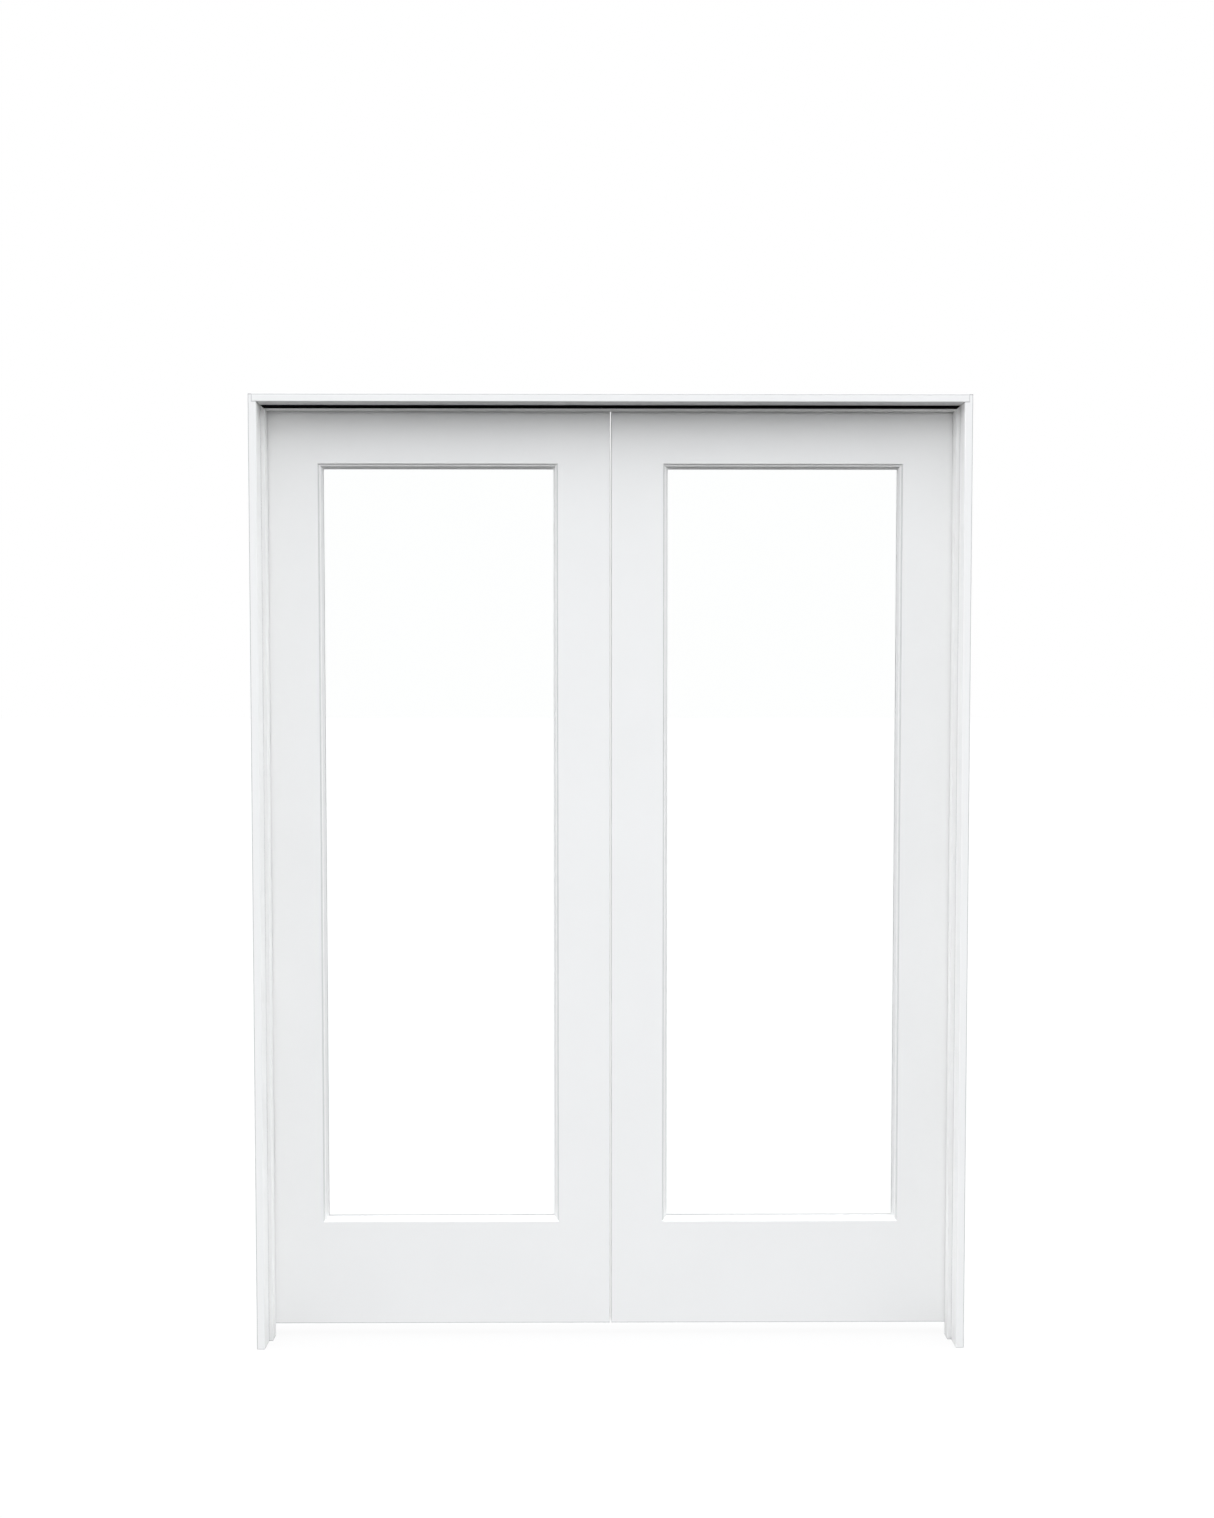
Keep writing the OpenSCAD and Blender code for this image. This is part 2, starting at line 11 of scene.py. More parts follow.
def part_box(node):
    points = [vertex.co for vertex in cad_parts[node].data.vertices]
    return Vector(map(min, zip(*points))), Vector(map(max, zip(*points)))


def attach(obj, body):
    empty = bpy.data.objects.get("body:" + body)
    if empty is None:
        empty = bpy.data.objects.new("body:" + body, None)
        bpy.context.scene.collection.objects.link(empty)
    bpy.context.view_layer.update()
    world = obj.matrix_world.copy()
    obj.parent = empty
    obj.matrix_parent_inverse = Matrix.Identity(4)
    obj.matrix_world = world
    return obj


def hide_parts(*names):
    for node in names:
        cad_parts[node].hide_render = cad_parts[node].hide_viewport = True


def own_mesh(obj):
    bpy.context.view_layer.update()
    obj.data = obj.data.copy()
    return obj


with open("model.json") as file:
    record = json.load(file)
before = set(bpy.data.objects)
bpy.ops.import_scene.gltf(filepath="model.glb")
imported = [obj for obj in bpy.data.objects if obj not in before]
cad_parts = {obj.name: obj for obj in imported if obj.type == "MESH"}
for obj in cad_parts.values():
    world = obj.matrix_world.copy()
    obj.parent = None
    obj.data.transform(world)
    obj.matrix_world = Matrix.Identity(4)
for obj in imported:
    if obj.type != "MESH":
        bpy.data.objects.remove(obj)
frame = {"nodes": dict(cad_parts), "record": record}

bl_info = {
    "name": "Glazed Door Pair",
    "version": (1, 0, 0),
    "blender": (4, 5, 0),
    "location": "3D View > Sidebar > Glazed Doors",
    "description": "Paints, glazes and fits out a pair of glazed doors in their frame, and sets the stage",
    "category": "Object",
}

MM = 0.001
NODES = frame["nodes"]
BODIES = frame["record"]["behaviour"]["bodies"]

SIDES = ("left", "right")
HINGES = ("top", "middle", "bottom")
STILE_PIECES = ("hinge_stile", "meeting_stile", "hinge_side_bead", "meeting_side_bead")
RAIL_PIECES = ("top_rail", "bottom_rail", "top_bead", "bottom_bead")
HINGE_PIECES = ("jamb_leaf", "door_leaf", "pin")
CATCH_PIECES = ("catch_barrel", "catch_ball", "catch_strike")


def side_nodes(*pieces):
    """The CAD nodes of those pieces on both sides."""
    return [f"{side}_{piece}" for side in SIDES for piece in pieces]


JAMB_NODES = ["head_jamb", *side_nodes("jamb")]
STOP_NODES = ["head_stop", *side_nodes("stop")]
STILE_NODES = side_nodes(*STILE_PIECES)
RAIL_NODES = side_nodes(*RAIL_PIECES)
HINGE_NODES = side_nodes(*[f"{hinge}_hinge_{piece}" for hinge in HINGES for piece in HINGE_PIECES])
SCREW_NODES = ["head_screws", "jamb_hinge_screws", "strike_screws", *side_nodes("door_hinge_screws")]
SPRING_NODES = side_nodes("catch_spring")


class WoodworkFinish(bpy.types.PropertyGroup):
    """Paint on the frame and the leaves, and the bare dowels"""

    paint: bpy.props.FloatVectorProperty(
        name="Paint", description="Colour of the white primer",
        subtype="COLOR", size=3, min=0, max=1, default=(0.926, 0.923, 0.912))
    # Painted shade: the stops take a darker copy of the same primer.
    stop_paint: bpy.props.FloatVectorProperty(
        name="Stop Paint", description="Colour of the primer on the stops",
        subtype="COLOR", size=3, min=0, max=1, default=(0.901, 0.898, 0.888))
    # Grey of the painted shade along arrises, feet, moulding slopes and bevels and the stops' back edges,
    # and of the dark seams at the ends of the head.
    thin_paint: bpy.props.FloatVectorProperty(
        name="Thin Paint", description="Colour where the primer is thin, on arrises and seams",
        subtype="COLOR", size=3, min=0, max=1, default=(0.53, 0.53, 0.53))
    # Painted shade: colour of the primer darkened down in a crevice of the frame.
    crevice: bpy.props.FloatVectorProperty(
        name="Crevice", description="Colour of the primer down in a crevice of the frame",
        subtype="COLOR", size=3, min=0, max=1, default=(0.50, 0.50, 0.50))
    # Painted shade: colour of the primer darkened down in a crevice of a leaf.
    leaf_crevice: bpy.props.FloatVectorProperty(
        name="Leaf Crevice", description="Colour of the primer down in a crevice of a leaf",
        subtype="COLOR", size=3, min=0, max=1, default=(0.85, 0.85, 0.85))
    seam_thin: bpy.props.FloatProperty(
        name="Seam Thinness", description="How thin the primer is over the seams at the ends of the head",
        subtype="FACTOR", min=0, max=1, default=0.5)
    # Strength of the painted shade on the outer arrises of the leaves.
    leaf_edge_shade: bpy.props.FloatProperty(
        name="Leaf Thinness", description="How thin it is on the outer arrises of the leaves",
        subtype="FACTOR", min=0, max=1, default=0.7)
    slope_reach: bpy.props.FloatProperty(
        name="Slope Reach", description="Width of the slopes of the mouldings next to the leaf's face",
        unit="LENGTH", min=0, default=3 * MM)
    # Strength of the painted shade on those slopes along the stiles.
    slope_thin: bpy.props.FloatProperty(
        name="Slope Thinness", description="How thin it is on those slopes along the stiles",
        subtype="FACTOR", min=0, max=1, default=0.52)
    # Strength of the painted shade on the bevels next to the glass.
    bevel_thin: bpy.props.FloatProperty(
        name="Bevel Thinness", description="How thin it is on the bevels next to the glass",
        subtype="FACTOR", min=0, max=1, default=0.22)
    # How far the painted shade reaches in from an arris.
    arris_reach: bpy.props.FloatProperty(
        name="Arris Reach", description="How far the thin primer reaches in from an arris",
        unit="LENGTH", min=0, default=2 * MM)
    # How far the dark seam lines reach from a seam, and the painted contact shadow up from the floor.
    seam_reach: bpy.props.FloatProperty(
        name="Seam Reach", description="How far the thin primer reaches from a seam or the floor",
        unit="LENGTH", min=0, default=1.2 * MM)
    # Width up to which a crevice gets painted shade.
    crevice_reach: bpy.props.FloatProperty(
        name="Crevice Reach", description="How wide a crevice may be to look darker",
        unit="LENGTH", min=0, default=2.5 * MM)
    stipple: bpy.props.FloatProperty(
        name="Stipple", description="Size of the grain that the roller leaves",
        unit="LENGTH", min=0.1 * MM, default=1.8 * MM)
    stipple_depth: bpy.props.FloatProperty(
        name="Stipple Depth", description="Height of that grain",
        unit="LENGTH", min=0, default=0.05 * MM)
    dowel: bpy.props.FloatVectorProperty(
        name="Dowel", description="Colour of the bare beech dowels",
        subtype="COLOR", size=3, min=0, max=1, default=(0.62, 0.45, 0.28))


class GlazingFinish(bpy.types.PropertyGroup):
    """Glass, glazing tape and head seal"""

    glass: bpy.props.FloatVectorProperty(
        name="Glass", description="Tint of the clear float glass",
        subtype="COLOR", size=3, min=0, max=1, default=(0.990, 0.998, 0.995))
    tape: bpy.props.FloatVectorProperty(
        name="Tape", description="Colour of the glazing tape",
        subtype="COLOR", size=3, min=0, max=1, default=(0.80, 0.80, 0.80))
    seal: bpy.props.FloatVectorProperty(
        name="Seal", description="Colour of the seal in the head stop",
        subtype="COLOR", size=3, min=0, max=1, default=(0.004, 0.004, 0.004))


class MetalFinish(bpy.types.PropertyGroup):
    """Hinges, screws and catches"""

    hinge: bpy.props.FloatVectorProperty(
        name="Hinges", description="Colour of the satin nickel hinges",
        subtype="COLOR", size=3, min=0, max=1, default=(0.62, 0.60, 0.57))
    screw: bpy.props.FloatVectorProperty(
        name="Screws", description="Colour of the plated screws",
        subtype="COLOR", size=3, min=0, max=1, default=(0.60, 0.58, 0.55))
    catch: bpy.props.FloatVectorProperty(
        name="Catches", description="Colour of the catches",
        subtype="COLOR", size=3, min=0, max=1, default=(0.66, 0.64, 0.60))


class FixingForm(bpy.types.PropertyGroup):
    """Shape of the screws and the springs"""

    recess_reach: bpy.props.FloatProperty(
        name="Recess Reach", description="Reach of the cross recess as a share of the head's radius",
        subtype="FACTOR", min=0.2, max=0.8, default=0.58)
    recess_width: bpy.props.FloatProperty(
        name="Recess Width", description="Width of a wing of the recess as a share of the head's radius",
        subtype="FACTOR", min=0.1, max=0.5, default=0.24)
    recess_depth: bpy.props.FloatProperty(
        name="Recess Depth", description="Depth of the recess as a share of the head's radius",
        subtype="FACTOR", min=0.1, max=0.8, default=0.45)
    thread_core: bpy.props.FloatProperty(
        name="Thread Core", description="Radius of the core as a share of the thread's radius",
        subtype="FACTOR", min=0.5, max=0.9, default=0.72)
    thread_pitch: bpy.props.FloatProperty(
        name="Thread Pitch", description="Rise of one turn as a share of the thread's radius",
        subtype="FACTOR", min=0.5, max=1.5, default=0.9)
    spring_turns: bpy.props.IntProperty(
        name="Spring Turns", description="Turns of a catch's spring", min=2, default=7)
    spring_wire: bpy.props.FloatProperty(
        name="Spring Wire", description="Radius of the spring's wire",
        unit="LENGTH", min=0.1 * MM, default=0.45 * MM)


class StageSetup(bpy.types.PropertyGroup):
    """Floor, light and camera"""

    floor_size: bpy.props.FloatProperty(
        name="Floor Size", description="Length of the floor's sides", unit="LENGTH", min=10, default=120)
    sky: bpy.props.FloatProperty(
        name="Sky", description="Strength of the soft light all round at the horizon", min=0, default=1.046)
    sky_top: bpy.props.FloatProperty(
        name="Top Light", description="How much stronger that light is overhead", min=0, default=1.0)
    sky_sides: bpy.props.FloatProperty(
        name="Side Lights", description="How much stronger it is at the left and right", min=0, default=4.7)
    sky_front: bpy.props.FloatProperty(
        name="Front Light", description="How much stronger it is in front", min=0, default=0.5)
    sky_colour: bpy.props.FloatVectorProperty(
        name="Sky Colour", description="Colour of that light",
        subtype="COLOR", size=3, min=0, max=1, default=(0.961, 0.977, 1.0))
    floor_bounce: bpy.props.FloatProperty(
        name="Floor Bounce", description="Share of the light that the floor sends back on the doors",
        subtype="FACTOR", min=0, max=1, default=0.055)
    floor_glow: bpy.props.FloatProperty(
        name="Floor Glow", description="What the floor shows where no light falls on it",
        subtype="FACTOR", min=0, max=1, default=0.90)
    floor_shade: bpy.props.FloatProperty(
        name="Floor Shade", description="What it shows besides where the light falls on it freely",
        subtype="FACTOR", min=0, max=1, default=0.15)
    camera_place: bpy.props.FloatVectorProperty(
        name="Camera Place", description="Where the camera stands",
        subtype="TRANSLATION", size=3, default=(-0.03196, -3.7075, 1.46955))
    camera_turn: bpy.props.FloatProperty(
        name="Camera Turn", description="Turn of the camera to the right", subtype="ANGLE", default=0.00644)
    camera_tilt: bpy.props.FloatProperty(
        name="Camera Tilt", description="Tilt of the camera upwards", subtype="ANGLE", default=-0.0471)
    lens: bpy.props.FloatProperty(
        name="Lens", description="Focal length in millimetres for a 36 mm long side", min=10, default=40.07)


class DoorPairSettings(bpy.types.PropertyGroup):
    """All that a user would change"""

    woodwork: bpy.props.PointerProperty(type=WoodworkFinish)
    glazing: bpy.props.PointerProperty(type=GlazingFinish)
    metal: bpy.props.PointerProperty(type=MetalFinish)
    fixings: bpy.props.PointerProperty(type=FixingForm)
    stage: bpy.props.PointerProperty(type=StageSetup)


# Shader helpers

def feed(node, inputs):
    """Sets the inputs of a node to plain values, or links them to sockets."""
    for key, value in inputs.items():
        if isinstance(value, bpy.types.NodeSocket):
            node.id_data.links.new(value, node.inputs[key])
        else:
            node.inputs[key].default_value = value


def add(tree, kind, inputs=None, **settings):
    """A node of that kind, with its settings, and with its inputs set or linked."""
    node = tree.nodes.new(kind)
    for name, value in settings.items():
        setattr(node, name, value)
    feed(node, inputs or {})
    return node


def math_node(tree, operation, *values, clamp=False):
    """The result of a Math node on those values or sockets."""
    node = add(tree, "ShaderNodeMath", dict(enumerate(values)), operation=operation, use_clamp=clamp)
    return node.outputs[0]


def map_range(tree, value, low, high, to_low=0.0, to_high=1.0):
    """The value mapped smoothly from one range to another."""
    inputs = {"Value": value, "From Min": low, "From Max": high, "To Min": to_low, "To Max": to_high}
    node = add(tree, "ShaderNodeMapRange", inputs, interpolation_type="SMOOTHSTEP")
    return node.outputs["Result"]


def mix_colours(tree, factor, first, second):
    """One colour going over to another as the factor grows."""
    # A Mix node has sockets for every data type, so those for colours are named by their number
    node = add(tree, "ShaderNodeMix", {0: factor, 6: first, 7: second}, data_type="RGBA")
    return node.outputs[2]


def rgba(colour):
    """That colour with full alpha, as a socket takes it."""
    return (*colour, 1.0)


def shaded(colour, share):
    """That colour, darker or lighter by a share."""
    return tuple(min(1.0, channel * share) for channel in colour)


def tones(tree, factor, colour, dark, light):
    """A colour that goes from a darker to a lighter tone of itself as the factor grows."""
    return mix_colours(tree, factor, rgba(shaded(colour, dark)), rgba(shaded(colour, light)))


def new_group(name, inputs, outputs):
    """An empty shader group with its named sockets, and its input and output nodes."""
    tree = bpy.data.node_groups.new(name, "ShaderNodeTree")
    for socket, default in inputs.items():
        made = tree.interface.new_socket(socket, in_out="INPUT", socket_type="NodeSocketFloat")
        made.default_value = default
    for socket in outputs:
        tree.interface.new_socket(socket, in_out="OUTPUT", socket_type="NodeSocketFloat")
    return tree, tree.nodes.new("NodeGroupInput").outputs, tree.nodes.new("NodeGroupOutput").inputs


# Where most values of a noise lie, which a mask stretches to 0 and 1
NOISE_SPAN = (0.3, 0.7)
# How far two normals differ at an edge, and how much sky is left open down in a crevice
EDGE_TURN = 0.12
CREVICE_SHADE_SPAN = (0.85, 0.25)
MASK_SAMPLES = 6


def grain_group():
    """Fine grain for a bump, and slow patches for roughness and colour, from 0 to 1."""
    scales = {"Grain Scale": 500.0, "Patch Scale": 4.0}
    tree, given, wanted = new_group("grain_group", scales, ["Grain", "Patches"])
    place = add(tree, "ShaderNodeTexCoord").outputs["Object"]
    grain = add(tree, "ShaderNodeTexNoise", {
        "Vector": place, "Scale": given["Grain Scale"], "Detail": 3.0, "Roughness": 0.55})
    patches = add(tree, "ShaderNodeTexNoise", {
        "Vector": place, "Scale": given["Patch Scale"], "Detail": 4.0, "Roughness": 0.6})
    tree.links.new(grain.outputs["Fac"], wanted["Grain"])
    tree.links.new(map_range(tree, patches.outputs["Fac"], *NOISE_SPAN), wanted["Patches"])
    return tree


def edge_group():
    """Mask that is 1 along the edges of a piece and 0 on its faces."""
    tree, given, wanted = new_group("edge_group", {"Reach": 1 * MM}, ["Mask"])
    rounded = add(tree, "ShaderNodeBevel", {"Radius": given["Reach"]}, samples=MASK_SAMPLES)
    faced = add(tree, "ShaderNodeNewGeometry")
    along = add(tree, "ShaderNodeVectorMath", {
        0: rounded.outputs["Normal"], 1: faced.outputs["Normal"]}, operation="DOT_PRODUCT")
    turned = math_node(tree, "SUBTRACT", 1.0, along.outputs["Value"], clamp=True)
    tree.links.new(map_range(tree, turned, 0.0, EDGE_TURN), wanted["Mask"])
    return tree


def crevice_shade_group():
    """Mask of painted shade that grows to 1 down in grooves and inner corners no wider than the reach."""
    tree, given, wanted = new_group("crevice_shade_group", {"Reach": 4 * MM}, ["Mask"])
    around = add(tree, "ShaderNodeAmbientOcclusion", {"Distance": given["Reach"]}, samples=MASK_SAMPLES)
    tree.links.new(map_range(tree, around.outputs["AO"], *CREVICE_SHADE_SPAN), wanted["Mask"])
    return tree


def brush_group():
    """Long fine scratches that run up a piece, from 0 to 1."""
    tree, given, wanted = new_group("brush_group", {"Line Scale": 900.0, "Stretch": 0.02}, ["Lines"])
    place = add(tree, "ShaderNodeTexCoord").outputs["Object"]
    squeeze = add(tree, "ShaderNodeCombineXYZ", {"X": 1.0, "Y": 1.0, "Z": given["Stretch"]})
    stretched = add(tree, "ShaderNodeVectorMath", {0: place, 1: squeeze.outputs[0]}, operation="MULTIPLY")
    lines = add(tree, "ShaderNodeTexNoise", {
        "Vector": stretched.outputs[0], "Scale": given["Line Scale"], "Detail": 2.0, "Roughness": 0.5})
    tree.links.new(map_range(tree, lines.outputs["Fac"], *NOISE_SPAN), wanted["Lines"])
    return tree


def place_group(tree, make, **inputs):
    """The outputs of a shared group with these inputs. It is built the first time that it is asked for."""
    group = bpy.data.node_groups.get(make.__name__) or make()
    node = add(tree, "ShaderNodeGroup", node_tree=group)
    feed(node, {name.replace("_", " ").title(): value for name, value in inputs.items()})
    return node.outputs


def new_material(name):
    """A material with an empty Principled shader, its tree and that shader."""
    material = bpy.data.materials.new(name)
    material.use_nodes = True
    tree = material.node_tree
    return material, tree, tree.nodes["Principled BSDF"]


def set_inputs(shader, **values):
    """Plain values and links on the shader's own sockets."""
    feed(shader, {name.replace("_", " "): value for name, value in values.items()})


def bump(tree, height, distance):
    """A normal that follows the height."""
    node = add(tree, "ShaderNodeBump", {"Height": height, "Distance": distance, "Strength": 1.0})
    return node.outputs["Normal"]


def finish(material, nodes):
    """Gives those CAD nodes the material in every slot they have."""
    for name in nodes:
        piece = NODES[name]
        for slot in piece.material_slots:
            slot.material = material


# Woodwork

def paint_material(name, colour, crevice_shade_colour, values, shade_and_seam_mask):
    """White primer with a fine stipple, with painted shade in crevices, and with painted shade and dark
    seams where a mask says so.
    """
    material, tree, shader = new_material(name)
    grain = place_group(tree, grain_group, grain_scale=1 / values.stipple, patch_scale=3.0)
    body = tones(tree, grain["Patches"], colour, 0.992, 1.008)
    # Painted shade: an ambient occlusion mask darkens the primer down in crevices.
    crevice = place_group(tree, crevice_shade_group, reach=values.crevice_reach)["Mask"]
    body = mix_colours(tree, crevice, body, rgba(crevice_shade_colour))
    # Painted shade along arrises, feet, moulding slopes and stop edges, and dark seams, where the given
    # mask says so.
    body = mix_colours(tree, shade_and_seam_mask(tree, values), body, rgba(values.thin_paint))
    rough = map_range(tree, grain["Patches"], 0.0, 1.0, 0.46, 0.56)
    set_inputs(shader, Base_Color=body, Roughness=rough, Specular_IOR_Level=0.3)
    set_inputs(shader, Normal=bump(tree, grain["Grain"], values.stipple_depth))
    return material


def mirrored_place(tree):
    """Distances from the middle plane of the pair and along the other two axes."""
    place = add(tree, "ShaderNodeTexCoord").outputs["Object"]
    parts = add(tree, "ShaderNodeSeparateXYZ", {"Vector": place}).outputs
    return math_node(tree, "ABSOLUTE", parts["X"]), parts["Y"], parts["Z"]


def face_distance(tree, value, low, high):
    """Distance of a value from the nearer end of its range."""
    above = math_node(tree, "SUBTRACT", value, low)
    below = math_node(tree, "SUBTRACT", high, value)
    return math_node(tree, "MINIMUM", above, below)


# A mask is full up to the first share of its reach, and gone at the second
FADE = (0.5, 1.2)


def near_mask(tree, distance, reach):
    """Mask that is 1 where a distance is small, and fades to 0 at about the reach."""
    return map_range(tree, distance, FADE[0] * reach, FADE[1] * reach, 1.0, 0.0)


def box_arris(tree, low, high, reach):
    """Mask along the edges of an upright box on the right, and of its mirror image."""
    places = mirrored_place(tree)
    a, b, c = [face_distance(tree, place, low[i], high[i]) for i, place in enumerate(places)]
    # On an edge two of the three distances are small, so the middle one of them tells how near it is
    lesser = math_node(tree, "MINIMUM", a, b)
    greater = math_node(tree, "MAXIMUM", a, b)
    middle = math_node(tree, "MAXIMUM", lesser, math_node(tree, "MINIMUM", greater, c))
    return near_mask(tree, middle, reach)


def foot_thin(tree, values):
    """Mask of painted contact shadow along the foot of what stands on the floor."""
    height = mirrored_place(tree)[2]
    return near_mask(tree, height, values.seam_reach)


def stop_thin(tree, values):
    """Mask of painted shade along the foot of the stops, and up their back edges as far as the leaves."""
    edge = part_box("right_stop")[1].y
    leaf_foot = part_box("right_bottom_rail")[0].z
    _, depth, height = mirrored_place(tree)
    off_edge = math_node(tree, "SUBTRACT", edge, depth)
    back = near_mask(tree, off_edge, values.arris_reach)
    free = math_node(tree, "LESS_THAN", height, leaf_foot)
    return math_node(tree, "MAXIMUM", foot_thin(tree, values), math_node(tree, "MULTIPLY", back, free))


def frame_thin(tree, values):
    """Mask of painted shade along the outer arrises and the foot of the frame, and of the dark seams at the
    ends of its head.
    """
    jamb_low, jamb_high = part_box("right_jamb")
    head_low, head_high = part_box("head_jamb")
    # The frame stands on the floor and its inside is left out, so only its outside has edges
    low = Vector((-jamb_high.x, jamb_low.y, -jamb_high.z))
    arris = box_arris(tree, low, jamb_high, values.arris_reach)
    across, _, height = mirrored_place(tree)
    past_end = math_node(tree, "SUBTRACT", across, head_high.x)
    under_head = math_node(tree, "SUBTRACT", head_low.z, height)
    off_seam = math_node(tree, "ABSOLUTE", math_node(tree, "MAXIMUM", past_end, under_head))
    on_jamb = math_node(tree, "GREATER_THAN", across, jamb_low.x)
    seam = math_node(tree, "MULTIPLY", near_mask(tree, off_seam, values.seam_reach), on_jamb)
    seam = math_node(tree, "MULTIPLY", seam, values.seam_thin)
    edges = math_node(tree, "MAXIMUM", arris, foot_thin(tree, values))
    return math_node(tree, "MAXIMUM", edges, seam)


def leaf_edge_shade(tree, values):
    """Mask of painted shade along the outer arrises of the pair of leaves, so that their flush joints stay
    plain.
    """
    low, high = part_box("right_hinge_stile")
    arris = box_arris(tree, Vector((-high.x, low.y, low.z)), high, values.arris_reach)
    return math_node(tree, "MULTIPLY", arris, values.leaf_edge_shade)


def stile_thin(tree, values):
    """The painted shade mask of the leaves, and besides it painted shade on the slopes and bevels along the
    stiles.
    """
    hinge_low, hinge_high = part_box("right_hinge_side_bead")
    meeting_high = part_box("right_meeting_side_bead")[1]
    across = mirrored_place(tree)[0]
    # Both mouldings of a leaf are as wide as its beads, and are measured from the glass outwards
    off_hinge_side = math_node(tree, "SUBTRACT", across, hinge_low.x)
    off_meeting_side = math_node(tree, "SUBTRACT", meeting_high.x, across)
    off_glass = math_node(tree, "MAXIMUM", off_hinge_side, off_meeting_side)
    width = hinge_high.x - hinge_low.x
    slope = math_node(tree, "COMPARE", off_glass, width - values.slope_reach / 2, values.slope_reach / 2)
    bevel = math_node(tree, "LESS_THAN", off_glass, width - 2 * values.slope_reach)
    moulding = math_node(tree, "MULTIPLY", slope, values.slope_thin)
    moulding = math_node(tree, "MULTIPLY_ADD", bevel, values.bevel_thin, moulding)
    return math_node(tree, "MAXIMUM", leaf_edge_shade(tree, values), moulding)


def beech_material(colour):
    """Bare beech with its grain along the dowels."""
    material, tree, shader = new_material("bare_beech")
    place = add(tree, "ShaderNodeTexCoord").outputs["Object"]
    along = add(tree, "ShaderNodeMapping", {"Vector": place, "Scale": (30.0, 500.0, 500.0)})
    grain = add(tree, "ShaderNodeTexNoise", {"Vector": along.outputs[0], "Scale": 1.0, "Detail": 5.0})
    streaks = map_range(tree, grain.outputs["Fac"], *NOISE_SPAN)
    rough = map_range(tree, streaks, 0.0, 1.0, 0.75, 0.6)
    set_inputs(shader, Base_Color=tones(tree, streaks, colour, 0.75, 1.15), Roughness=rough)
    set_inputs(shader, Normal=bump(tree, streaks, 0.05 * MM))
    return material


class DOORPAIR_OT_paint_frame(bpy.types.Operator):
    """Paint the jambs, the head and the stops"""

    bl_idname = "doorpair.paint_frame"
    bl_label = "Paint Frame"

    def execute(self, context):
        values = context.scene.door_pair.woodwork
        # The stops take the darker copy of the primer, as painted shade.
        for name, colour, shade_and_seam_mask, nodes in (
                ("frame_primer", values.paint, frame_thin, JAMB_NODES),
                ("stop_primer", values.stop_paint, stop_thin, STOP_NODES)):
            finish(paint_material(name, colour, values.crevice, values, shade_and_seam_mask), nodes)
        return {"FINISHED"}


class DOORPAIR_OT_paint_leaves(bpy.types.Operator):
    """Paint the stiles, the rails and the beads, and finish the dowels in them"""

    bl_idname = "doorpair.paint_leaves"
    bl_label = "Paint Leaves"

    def execute(self, context):
        values = context.scene.door_pair.woodwork
        for name, shade_and_seam_mask, nodes in (
                ("stile_primer", stile_thin, STILE_NODES),
                ("rail_primer", leaf_edge_shade, RAIL_NODES)):
            finish(paint_material(name, values.paint, values.leaf_crevice, values, shade_and_seam_mask), nodes)
        finish(beech_material(values.dowel), side_nodes("rail_dowels"))
        return {"FINISHED"}


# Glass, tape and seal

def glass_material(tint):
    """Clear float glass, a little wavy and not quite clean."""
    material, tree, shader = new_material("float_glass")
    film = place_group(tree, grain_group, grain_scale=9.0, patch_scale=6.0)
    colour = tones(tree, film["Patches"], tint, 0.998, 1.0)
    rough = map_range(tree, film["Patches"], 0.0, 1.0, 0.0, 0.015)
    set_inputs(shader, Base_Color=colour, Roughness=rough, IOR=1.5, Transmission_Weight=1.0)
    set_inputs(shader, Normal=bump(tree, film["Grain"], 0.01 * MM))
    return material


def tape_material(colour):
    """Pale closed-cell foam."""
    material, tree, shader = new_material("glazing_foam")
    cells = place_group(tree, grain_group, grain_scale=1500.0, patch_scale=30.0)
    foam = tones(tree, cells["Patches"], colour, 0.94, 1.04)
    set_inputs(shader, Base_Color=foam, Roughness=0.85, Normal=bump(tree, cells["Grain"], 0.1 * MM))
    return material


def seal_material(colour):
    """Matt black rubber."""
    material, tree, shader = new_material("black_seal")
    grain = place_group(tree, grain_group, grain_scale=900.0, patch_scale=25.0)
    black = tones(tree, grain["Patches"], colour, 0.7, 1.5)
    rough = map_range(tree, grain["Patches"], 0.0, 1.0, 0.85, 0.95)
    set_inputs(shader, Base_Color=black, Roughness=rough, Specular_IOR_Level=0.03)
    set_inputs(shader, Normal=bump(tree, grain["Grain"], 0.05 * MM))
    return material


class DOORPAIR_OT_glaze(bpy.types.Operator):
    """Finish the glass, its tape and the seal of the head stop"""

    bl_idname = "doorpair.glaze"
    bl_label = "Glaze"

    def execute(self, context):
        values = context.scene.door_pair.glazing
        finish(glass_material(values.glass), side_nodes("glass"))
        finish(tape_material(values.tape), side_nodes("glazing_tape"))
        finish(seal_material(values.seal), ["head_seal"])
        return {"FINISHED"}


# Metalwork

def metal_material(name, colour, line_scale, stretch, roughness):
    """Plated steel with brush lines, lighter along its edges as worn polish and as a painted highlight."""
    material, tree, shader = new_material(name)
    lines = place_group(tree, brush_group, line_scale=line_scale, stretch=stretch)["Lines"]
    edge = place_group(tree, edge_group, reach=0.4 * MM)["Mask"]
    brushed = tones(tree, lines, colour, 0.93, 1.05)
    # Lighter along the edges: worn polish, and a painted highlight on the edges.
    worn_and_highlit = mix_colours(tree, edge, brushed, rgba(shaded(colour, 1.18)))
    rough = map_range(tree, lines, 0.0, 1.0, *roughness)
    set_inputs(shader, Base_Color=worn_and_highlit, Metallic=1.0, Roughness=rough)
    set_inputs(shader, Normal=bump(tree, lines, 0.01 * MM))
    return material


